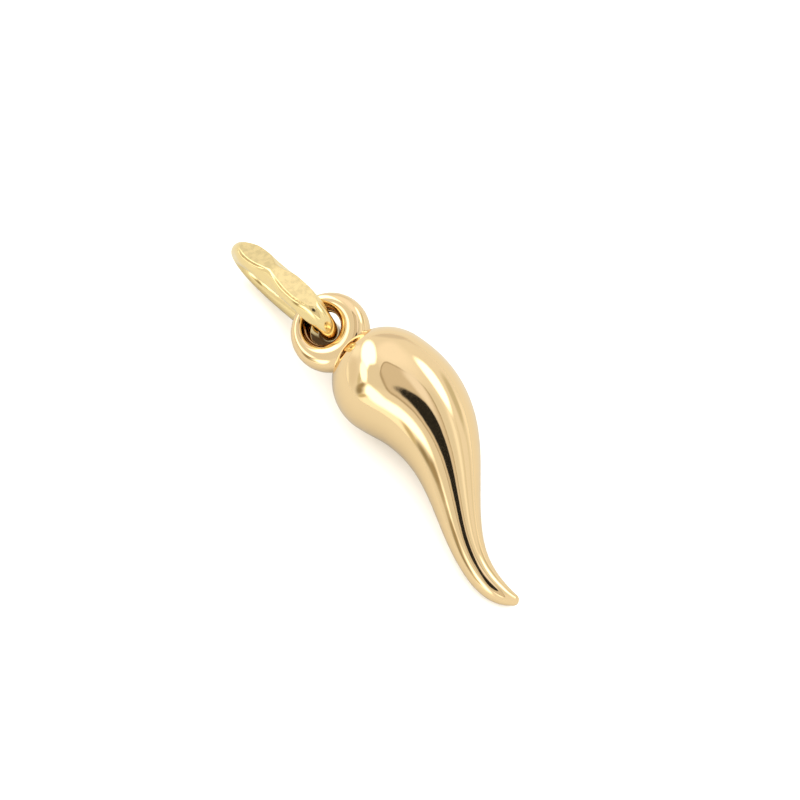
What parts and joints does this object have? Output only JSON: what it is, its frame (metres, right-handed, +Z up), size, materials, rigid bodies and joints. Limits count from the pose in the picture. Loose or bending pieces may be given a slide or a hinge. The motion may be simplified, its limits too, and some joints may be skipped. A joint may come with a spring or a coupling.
{
  "type": "horn charm pendant",
  "caption": "Polished gold horn charm with a slim curved tip, a fat round eye on its bulb and an oval bail with leaf-shaped flats for a chain, lying on its side.",
  "frame": {"origin": "on the surface the pendant lies on, under the middle of the whole pendant in plan", "axes": "+X along the pendant from the bail to the horn's tip, +Y to the left seen from the bail, +Z up from the surface"},
  "size_m": [0.0208, 0.005, 0.0048],
  "materials": {
    "polished_gold": "mirror-polished 18 carat yellow gold",
    "bail_gold": "polished 18 carat yellow gold with two softly pressed flats"
  },
  "bodies": {
    "root": {"horn": "polished_gold", "bail": "bail_gold"}
  },
  "joints": []
}
